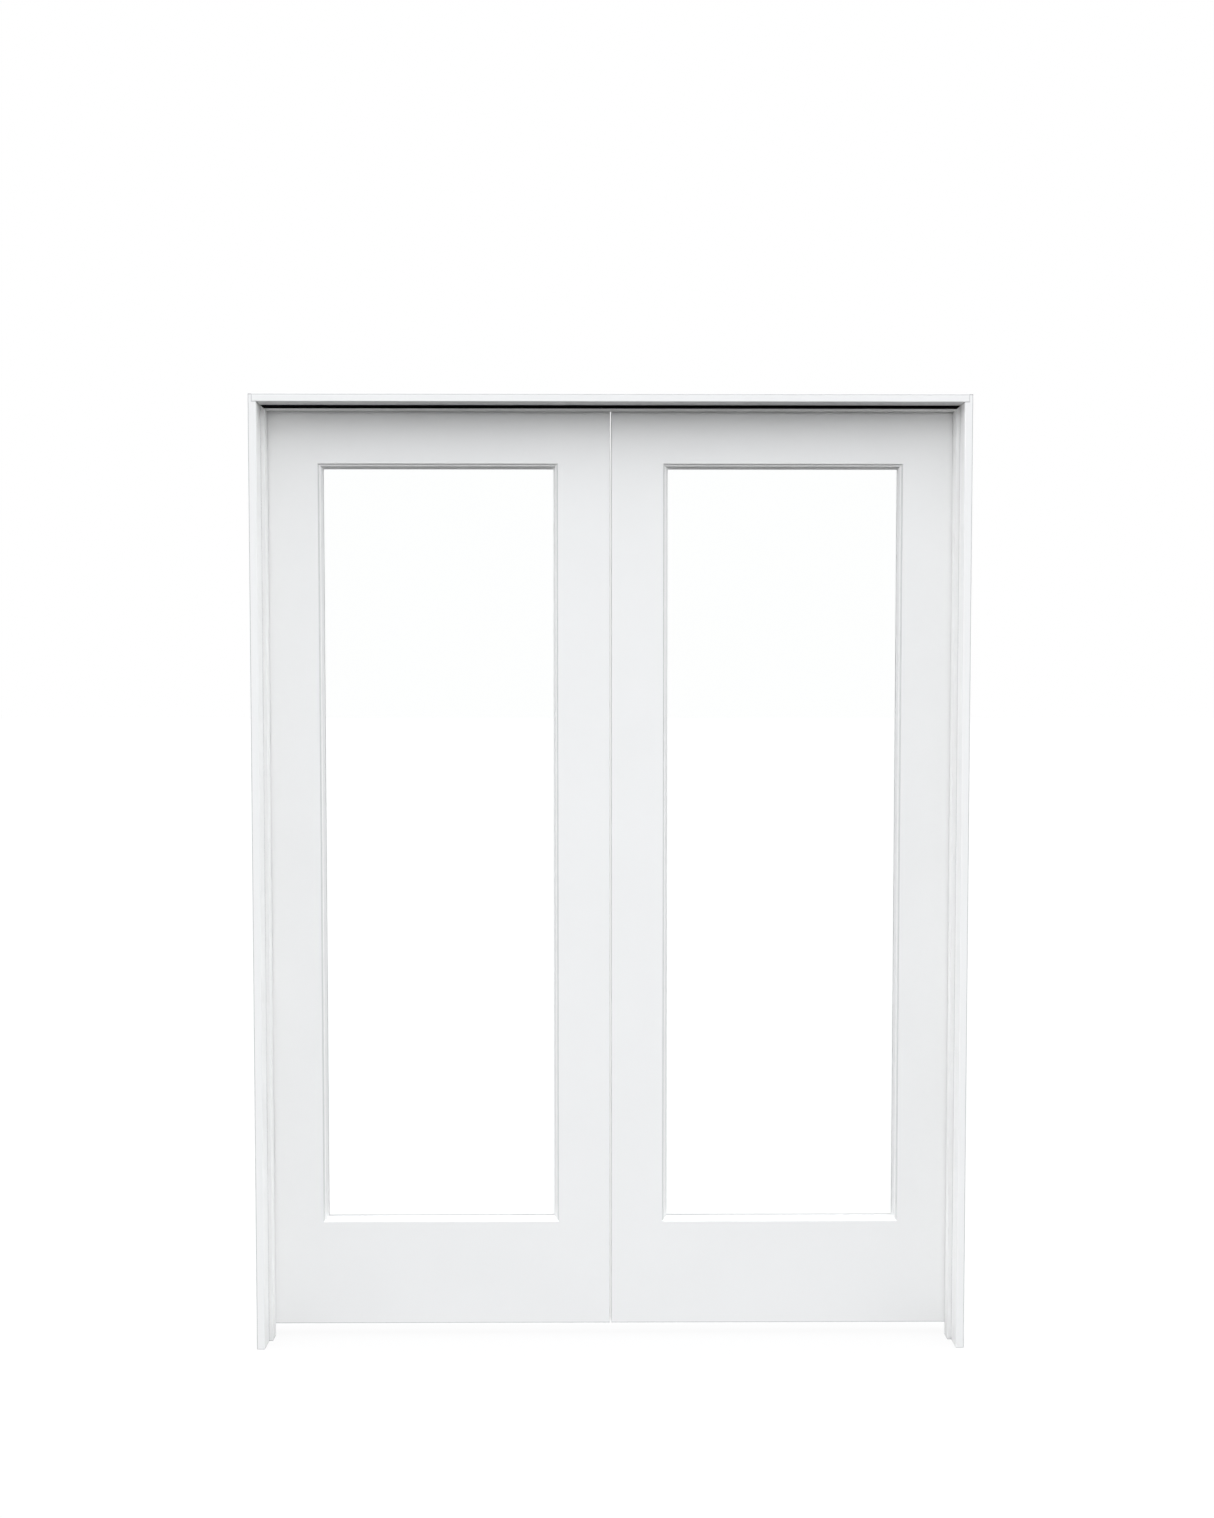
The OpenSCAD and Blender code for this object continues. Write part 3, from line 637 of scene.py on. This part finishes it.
class DOORPAIR_OT_finish_hinges(bpy.types.Operator):
    """Finish the hinge leaves and their pins in satin nickel"""

    bl_idname = "doorpair.finish_hinges"
    bl_label = "Finish Hinges"

    def execute(self, context):
        colour = context.scene.door_pair.metal.hinge
        material = metal_material(
            "satin_nickel", colour, line_scale=1200.0, stretch=0.02, roughness=(0.28, 0.42))
        finish(material, HINGE_NODES)
        return {"FINISHED"}


class DOORPAIR_OT_finish_catches(bpy.types.Operator):
    """Finish the balls, barrels and strikes of the catches"""

    bl_idname = "doorpair.finish_catches"
    bl_label = "Finish Catches"

    def execute(self, context):
        colour = context.scene.door_pair.metal.catch
        material = metal_material(
            "catch_nickel", colour, line_scale=1500.0, stretch=0.3, roughness=(0.15, 0.26))
        finish(material, side_nodes(*CATCH_PIECES))
        return {"FINISHED"}


# Modelling helpers

# Distances at which points are merged, in copies of CAD meshes and in swept coils
CAD_WELD = 1e-6
COIL_WELD = 1e-7


def start_piece(name, add_primitive, **sizes):
    """A new primitive alone in the selection, under its piece's name."""
    bpy.ops.object.select_all(action="DESELECT")
    add_primitive(**sizes)
    piece = bpy.context.object
    piece.name = name
    piece.data.name = name
    return piece


def edit(piece, mode="VERT"):
    """Opens a piece in edit mode with everything selected."""
    bpy.ops.object.select_all(action="DESELECT")
    bpy.context.view_layer.objects.active = piece
    piece.select_set(True)
    bpy.ops.object.mode_set(mode="EDIT")
    bpy.ops.mesh.select_mode(type=mode)
    bpy.ops.mesh.select_all(action="SELECT")


def close_edit():
    """Leaves edit mode."""
    bpy.ops.object.mode_set(mode="OBJECT")


def apply_modifier(piece, kind, **settings):
    """Adds a modifier with these settings and applies it."""
    modifier = piece.modifiers.new(kind.lower(), kind)
    for name, value in settings.items():
        setattr(modifier, name, value)
    bpy.context.view_layer.objects.active = piece
    bpy.ops.object.modifier_apply(modifier=modifier.name)


def combine(piece, other, operation):
    """Joins another solid to a piece or cuts it away, and removes that other."""
    apply_modifier(piece, "BOOLEAN", object=other, operation=operation, solver="EXACT")
    bpy.data.objects.remove(other)


def body_of(node):
    """The CAD body that a node rides on."""
    return next(body for body, members in BODIES.items() if node in members)


def dress(piece, node, material):
    """Puts a modelled piece in the place of a CAD node, with its finish."""
    piece.data.materials.clear()
    piece.data.materials.append(material)
    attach(piece, body_of(node))
    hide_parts(node)


def solids_of(node):
    """The points of each separate solid of a CAD node."""
    mesh = bmesh.new()
    mesh.from_mesh(NODES[node].data)
    bmesh.ops.remove_doubles(mesh, verts=mesh.verts, dist=CAD_WELD)
    waiting = set(mesh.verts)
    solids = []
    while waiting:
        reached = [waiting.pop()]
        for point in reached:
            near = {edge.other_vert(point) for edge in point.link_edges} & waiting
            waiting -= near
            reached.extend(near)
        solids.append([point.co.copy() for point in reached])
    mesh.free()
    return sorted(solids, key=lambda points: tuple(round(c, 4) for c in points_middle(points)))


def points_box(points):
    """Lowest and highest corner of some points."""
    low = Vector(min(p[i] for p in points) for i in range(3))
    high = Vector(max(p[i] for p in points) for i in range(3))
    return low, high


def points_middle(points):
    """The middle of the box round some points."""
    low, high = points_box(points)
    return (low + high) / 2


# From this difference of two slopes on, a profile has a corner
SLOPE_CHANGE = 0.05


class ScrewSeat:
    """Where a screw of the CAD model sits, and its profile from the head down."""

    def __init__(self, points):
        low, high = points_box(points)
        middle = (low + high) / 2
        extents = high - low
        axis = max(range(3), key=lambda i: extents[i])
        rings = {}
        for point in points:
            offset = point - middle
            offset[axis] = 0
            height = round(point[axis], 5)
            rings[height] = max(rings.get(height, 0), offset.length)
        head = max(rings, key=rings.get)
        point_end = low[axis] if head > middle[axis] else high[axis]
        self.head = middle.copy()
        self.head[axis] = head
        self.direction = Vector((0, 0, 0))
        self.direction[axis] = math.copysign(1, point_end - head)
        self.profile = corners(sorted((abs(height - head), radius) for height, radius in rings.items()))


def corners(profile):
    """The ends of a profile, and the points where it changes its slope."""
    kept = [profile[0]]
    for before, here, after in zip(profile, profile[1:], profile[2:]):
        slope_in = (here[1] - before[1]) / (here[0] - before[0])
        slope_out = (after[1] - here[1]) / (after[0] - here[0])
        if abs(slope_in - slope_out) > SLOPE_CHANGE:
            kept.append(here)
    return [*kept, profile[-1]]


# Screws

SCREW_SIDES = 32
THREAD_STEPS = 20
SCREW_SMOOTH = math.radians(35)
# Turn from one screw to the next, so that no two recesses stand alike
GOLDEN_TURN = math.radians(137.5)
# Where the plain shank ends and the thread begins, as shares of the head's depth
SHANK_END = 1.6
THREAD_START = 1.9
# Size of a recess wing's foot as shares of its mouth
RECESS_TAPER = (0.3, 0.6, 1)
# Root of the thread's ridge as a share of the core's radius, and half its width as a share of the pitch
RIDGE_ROOT = 0.9
RIDGE_HALF_WIDTH = 0.42


def turned_blank(name, profile):
    """A solid of revolution that goes down from its head through the profile's rings."""
    head_r = profile[0][1]
    piece = start_piece(
        name, bpy.ops.mesh.primitive_circle_add, vertices=SCREW_SIDES, radius=head_r, fill_type="NGON")
    edit(piece, "FACE")
    for (depth, radius), (next_depth, next_radius) in zip(profile, profile[1:]):
        drop = {"value": (0, 0, depth - next_depth)}
        bpy.ops.mesh.extrude_region_move(TRANSFORM_OT_translate=drop)
        share = next_radius / radius
        bpy.ops.transform.resize(value=(share, share, 1))
    bpy.ops.mesh.select_all(action="SELECT")
    bpy.ops.mesh.normals_make_consistent(inside=False)
    close_edit()
    return piece


def recess_wing(head_r, form, turn):
    """One tapered wing of a cross recess, to be cut from a head at z = 0."""
    wing = start_piece("recess_wing", bpy.ops.mesh.primitive_cube_add, size=1)
    depth = form.recess_depth * head_r
    reach = 2 * form.recess_reach * head_r
    width = form.recess_width * head_r
    edit(wing, "FACE")
    bpy.ops.transform.resize(value=(reach, width, 2 * depth))
    bpy.ops.mesh.select_all(action="DESELECT")
    close_edit()
    for face in wing.data.polygons:
        face.select = face.normal.z < -0.5
    bpy.ops.object.mode_set(mode="EDIT")
    bpy.ops.transform.resize(value=RECESS_TAPER)
    bpy.ops.mesh.select_all(action="SELECT")
    bpy.ops.transform.rotate(value=turn, orient_axis="Z", center_override=(0, 0, 0))
    close_edit()
    return wing


def thread_ridge(top, foot, radius, form):
    """A helical ridge round the shank from top down to foot."""
    core = form.thread_core * radius
    pitch = form.thread_pitch * radius
    turns = max(1, int((top - foot) / pitch))
    ridge = start_piece(
        "thread_ridge", bpy.ops.mesh.primitive_circle_add, vertices=3, radius=1, fill_type="NOTHING")
    root = RIDGE_ROOT * core
    half_width = RIDGE_HALF_WIDTH * pitch
    places = ((radius, 0), (root, half_width), (root, -half_width))
    for point, (out, up) in zip(ridge.data.vertices, places):
        point.co = (out, 0, top - 0.5 * pitch + up)
    apply_modifier(
        ridge, "SCREW", axis="Z", angle=math.tau, screw_offset=-pitch, iterations=turns,
        steps=THREAD_STEPS, render_steps=THREAD_STEPS, use_merge_vertices=False)
    edit(ridge)
    bpy.ops.mesh.remove_doubles(threshold=COIL_WELD)
    bpy.ops.mesh.fill_holes(sides=3)
    bpy.ops.mesh.select_all(action="SELECT")
    bpy.ops.mesh.normals_make_consistent(inside=False)
    close_edit()
    return ridge


def model_screw(name, profile, form):
    """A countersunk screw with a cross recess and a cut thread, its head at z = 0."""
    (_, head_r), (neck, shank_r), (taper, _), (length, tip_r) = profile
    core_r = form.thread_core * shank_r
    thread_start = THREAD_START * neck
    turned = [
        (0, head_r), (neck, shank_r), (SHANK_END * neck, shank_r), (thread_start, core_r),
        (taper, core_r), (length, tip_r * form.thread_core),
    ]
    screw = turned_blank(name, turned)
    combine(screw, thread_ridge(-thread_start, -taper, shank_r, form), "UNION")
    for turn in (0, math.pi / 2):
        combine(screw, recess_wing(head_r, form, turn), "DIFFERENCE")
    return screw


def copy_piece(pattern, name):
    """A copy with a mesh of its own."""
    made = pattern.copy()
    made.data = pattern.data.copy()
    made.name = name
    bpy.context.scene.collection.objects.link(made)
    return made


def join_pieces(pieces, name):
    """Makes one piece of several, at the origin."""
    bpy.ops.object.select_all(action="DESELECT")
    for piece in pieces:
        piece.select_set(True)
    bpy.context.view_layer.objects.active = pieces[0]
    bpy.ops.object.transform_apply(location=True, rotation=True, scale=True)
    bpy.ops.object.join()
    joined = bpy.context.object
    joined.name = name
    joined.data.name = name
    return joined


def drive_screws(node, form):
    """A piece with every screw of a CAD node, each turned by a different amount."""
    seats = [ScrewSeat(points) for points in solids_of(node)]
    pattern = model_screw("screw_pattern", seats[0].profile, form)
    copies = []
    for number, seat in enumerate(seats):
        screw = copy_piece(pattern, f"{node}_{number}")
        aim = seat.direction.to_track_quat("-Z", "Y")
        screw.rotation_mode = "QUATERNION"
        screw.rotation_quaternion = aim @ Quaternion((0, 0, 1), number * GOLDEN_TURN)
        screw.location = seat.head
        copies.append(screw)
    bpy.data.objects.remove(pattern)
    piece = join_pieces(copies, f"{node}_driven")
    bpy.ops.object.shade_smooth_by_angle(angle=SCREW_SMOOTH)
    return piece


class DOORPAIR_OT_drive_screws(bpy.types.Operator):
    """Model the screws with cross recesses and threads, and drive them home"""

    bl_idname = "doorpair.drive_screws"
    bl_label = "Drive Screws"

    def execute(self, context):
        settings = context.scene.door_pair
        material = metal_material(
            "screw_nickel", settings.metal.screw, line_scale=2500.0, stretch=1.0, roughness=(0.22, 0.36))
        for node in SCREW_NODES:
            dress(drive_screws(node, settings.fixings), node, material)
        return {"FINISHED"}


# Springs

WIRE_SIDES = 12
TURN_STEPS = 36
SPRING_SMOOTH = math.radians(40)
# The springs of the two leaves mirror each other: the left one is right-handed
HANDS = (1, -1)


def wind_spring(node, form, hand):
    """A coil of round wire that fills the CAD spring's box, right-handed for 1 and left-handed for -1."""
    low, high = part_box(node)
    middle = (low + high) / 2
    wire = form.spring_wire
    coil_r = (high.x - low.x) / 2 - wire
    rise = (high.z - low.z - 2 * wire) / form.spring_turns
    spring = start_piece(
        f"{node}_wound", bpy.ops.mesh.primitive_circle_add,
        vertices=WIRE_SIDES, radius=wire, fill_type="NOTHING")
    edit(spring)
    bpy.ops.transform.rotate(value=math.pi / 2, orient_axis="X", center_override=(0, 0, 0))
    bpy.ops.transform.translate(value=(hand * coil_r, 0, 0))
    close_edit()
    apply_modifier(
        spring, "SCREW", axis="Z", angle=hand * math.tau, screw_offset=rise, iterations=form.spring_turns,
        steps=TURN_STEPS, render_steps=TURN_STEPS, use_merge_vertices=False)
    edit(spring)
    bpy.ops.mesh.remove_doubles(threshold=COIL_WELD)
    bpy.ops.mesh.fill_holes(sides=WIRE_SIDES)
    bpy.ops.mesh.select_all(action="SELECT")
    bpy.ops.mesh.normals_make_consistent(inside=False)
    bpy.ops.transform.translate(value=(middle.x, middle.y, low.z + wire))
    close_edit()
    bpy.ops.object.shade_smooth_by_angle(angle=SPRING_SMOOTH)
    return spring


class DOORPAIR_OT_wind_springs(bpy.types.Operator):
    """Model the springs of the catches as coils that fill the CAD springs' boxes; in the catches they
    shorten as the balls are pushed down
    """

    bl_idname = "doorpair.wind_springs"
    bl_label = "Wind Springs"

    def execute(self, context):
        settings = context.scene.door_pair
        material = metal_material(
            "spring_steel", settings.metal.catch, line_scale=2500.0, stretch=1.0, roughness=(0.25, 0.4))
        for side, node, hand in zip(SIDES, SPRING_NODES, HANDS):
            spring = wind_spring(node, settings.fixings, hand)
            dress(spring, node, material)
            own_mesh(spring)
        return {"FINISHED"}


# Stage

# Shares of the top light and of each low light that fall on the open floor
TOP_LIGHT_ON_FLOOR = 2 / 3
LOW_LIGHT_ON_FLOOR = 0.05
# How narrow the low lights are, and how fast the side lights end behind the doors
SIDE_LIGHT_POWER = 10.0
FRONT_LIGHT_POWER = 6.0
SIDE_LIGHT_END = 0.1
WHITE = (1, 1, 1)
SENSOR = 36


def seen_by_eye(tree):
    """1 for what the camera sees, straight, mirrored or through glass, and 0 for light on its way."""
    path = add(tree, "ShaderNodeLightPath").outputs
    mirrored = math_node(tree, "MAXIMUM", path["Is Glossy Ray"], path["Is Transmission Ray"])
    seen = math_node(tree, "MAXIMUM", path["Is Camera Ray"], mirrored)
    direct = math_node(tree, "LESS_THAN", path["Diffuse Depth"], 0.5)
    return math_node(tree, "MULTIPLY", seen, direct)


def floor_material(stage):
    """Pale floor that looks white, keeps a soft shadow and sends little light back."""
    material, tree, shader = new_material("pale_floor")
    tree.nodes.remove(shader)
    low_lights = stage.sky_sides + stage.sky_front
    light = stage.sky * (1 + TOP_LIGHT_ON_FLOOR * stage.sky_top + LOW_LIGHT_ON_FLOOR * low_lights)
    shade = stage.floor_shade / light
    lit = add(tree, "ShaderNodeBsdfDiffuse", {"Color": rgba([shade] * 3)})
    glow = add(tree, "ShaderNodeEmission", {"Color": rgba(WHITE), "Strength": stage.floor_glow})
    white = add(tree, "ShaderNodeAddShader", {0: lit.outputs[0], 1: glow.outputs[0]})
    dim = add(tree, "ShaderNodeBsdfDiffuse", {"Color": rgba([stage.floor_bounce] * 3)})
    mixed = add(tree, "ShaderNodeMixShader", {0: seen_by_eye(tree), 1: dim.outputs[0], 2: white.outputs[0]})
    tree.links.new(mixed.outputs[0], tree.nodes["Material Output"].inputs["Surface"])
    return material


def lay_floor(stage):
    """The floor that the doors stand on."""
    floor = start_piece("stage_floor", bpy.ops.mesh.primitive_plane_add, size=stage.floor_size)
    floor.data.materials.append(floor_material(stage))


def sky_strength(tree, stage):
    """Strength of the sky in each direction: a broad top light, and narrower side and front lights."""
    direction = add(tree, "ShaderNodeTexCoord").outputs["Generated"]
    parts = add(tree, "ShaderNodeSeparateXYZ", {"Vector": direction}).outputs
    top = math_node(tree, "MAXIMUM", parts["Z"], 0.0)
    ahead = math_node(tree, "MAXIMUM", math_node(tree, "MULTIPLY", parts["Y"], -1.0), 0.0)
    front = math_node(tree, "POWER", ahead, FRONT_LIGHT_POWER)
    # The side lights stand in front of the doors, so that they don't burn out the backs of the jambs
    not_behind = map_range(tree, parts["Y"], 0.0, SIDE_LIGHT_END, 1.0, 0.0)
    across = math_node(tree, "POWER", math_node(tree, "ABSOLUTE", parts["X"]), SIDE_LIGHT_POWER)
    sides = math_node(tree, "MULTIPLY", across, not_behind)
    share = 1.0
    for light, strength in ((top, stage.sky_top), (sides, stage.sky_sides), (front, stage.sky_front)):
        share = math_node(tree, "MULTIPLY_ADD", light, strength, share)
    return math_node(tree, "MULTIPLY", share, stage.sky)


def light_world(stage):
    """Soft light all round, on a background that looks white."""
    world = bpy.data.worlds.new("soft_studio")
    world.use_nodes = True
    tree = world.node_tree
    sky = tree.nodes["Background"]
    sky.inputs["Color"].default_value = rgba(stage.sky_colour)
    tree.links.new(sky_strength(tree, stage), sky.inputs["Strength"])
    backdrop = add(tree, "ShaderNodeBackground", {"Color": rgba(WHITE), "Strength": 1.0}).outputs[0]
    mixed = add(tree, "ShaderNodeMixShader", {0: seen_by_eye(tree), 1: sky.outputs[0], 2: backdrop})
    tree.links.new(mixed.outputs[0], tree.nodes["World Output"].inputs["Surface"])
    bpy.context.scene.world = world


def stand_camera(stage):
    """The camera where the photograph was taken from."""
    data = bpy.data.cameras.new("camera")
    data.sensor_width = SENSOR
    data.lens = stage.lens
    camera = bpy.data.objects.new("camera", data)
    camera.location = stage.camera_place
    camera.rotation_euler = (math.pi / 2 + stage.camera_tilt, 0, -stage.camera_turn)
    bpy.context.scene.collection.objects.link(camera)
    bpy.context.scene.camera = camera


class DOORPAIR_OT_set_stage(bpy.types.Operator):
    """Lay the floor, light the doors and stand the camera"""

    bl_idname = "doorpair.set_stage"
    bl_label = "Set Stage"

    def execute(self, context):
        stage = context.scene.door_pair.stage
        lay_floor(stage)
        light_world(stage)
        stand_camera(stage)
        context.scene.view_settings.view_transform = "Standard"
        return {"FINISHED"}


class VIEW3D_PT_door_pair(bpy.types.Panel):
    """Steps that fit out the doors, in order"""

    bl_label = "Glazed Doors"
    bl_idname = "VIEW3D_PT_door_pair"
    bl_space_type = "VIEW_3D"
    bl_region_type = "UI"
    bl_category = "Glazed Doors"

    def draw(self, context):
        for step in STEPS:
            self.layout.operator(step.bl_idname)


STEPS = (
    DOORPAIR_OT_paint_frame,
    DOORPAIR_OT_paint_leaves,
    DOORPAIR_OT_glaze,
    DOORPAIR_OT_finish_hinges,
    DOORPAIR_OT_finish_catches,
    DOORPAIR_OT_drive_screws,
    DOORPAIR_OT_wind_springs,
    DOORPAIR_OT_set_stage,
)
SETTINGS = (WoodworkFinish, GlazingFinish, MetalFinish, FixingForm, StageSetup, DoorPairSettings)
CLASSES = (*SETTINGS, *STEPS, VIEW3D_PT_door_pair)


def register():
    for cls in CLASSES:
        bpy.utils.register_class(cls)
    bpy.types.Scene.door_pair = bpy.props.PointerProperty(type=DoorPairSettings)


def unregister():
    del bpy.types.Scene.door_pair
    for cls in reversed(CLASSES):
        bpy.utils.unregister_class(cls)


def main():
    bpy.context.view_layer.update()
    register()
    bpy.ops.doorpair.paint_frame()
    bpy.ops.doorpair.paint_leaves()
    bpy.ops.doorpair.glaze()
    bpy.ops.doorpair.finish_hinges()
    bpy.ops.doorpair.finish_catches()
    bpy.ops.doorpair.drive_screws()
    bpy.ops.doorpair.wind_springs()
    bpy.ops.doorpair.set_stage()


if __name__ == "__main__":
    main()
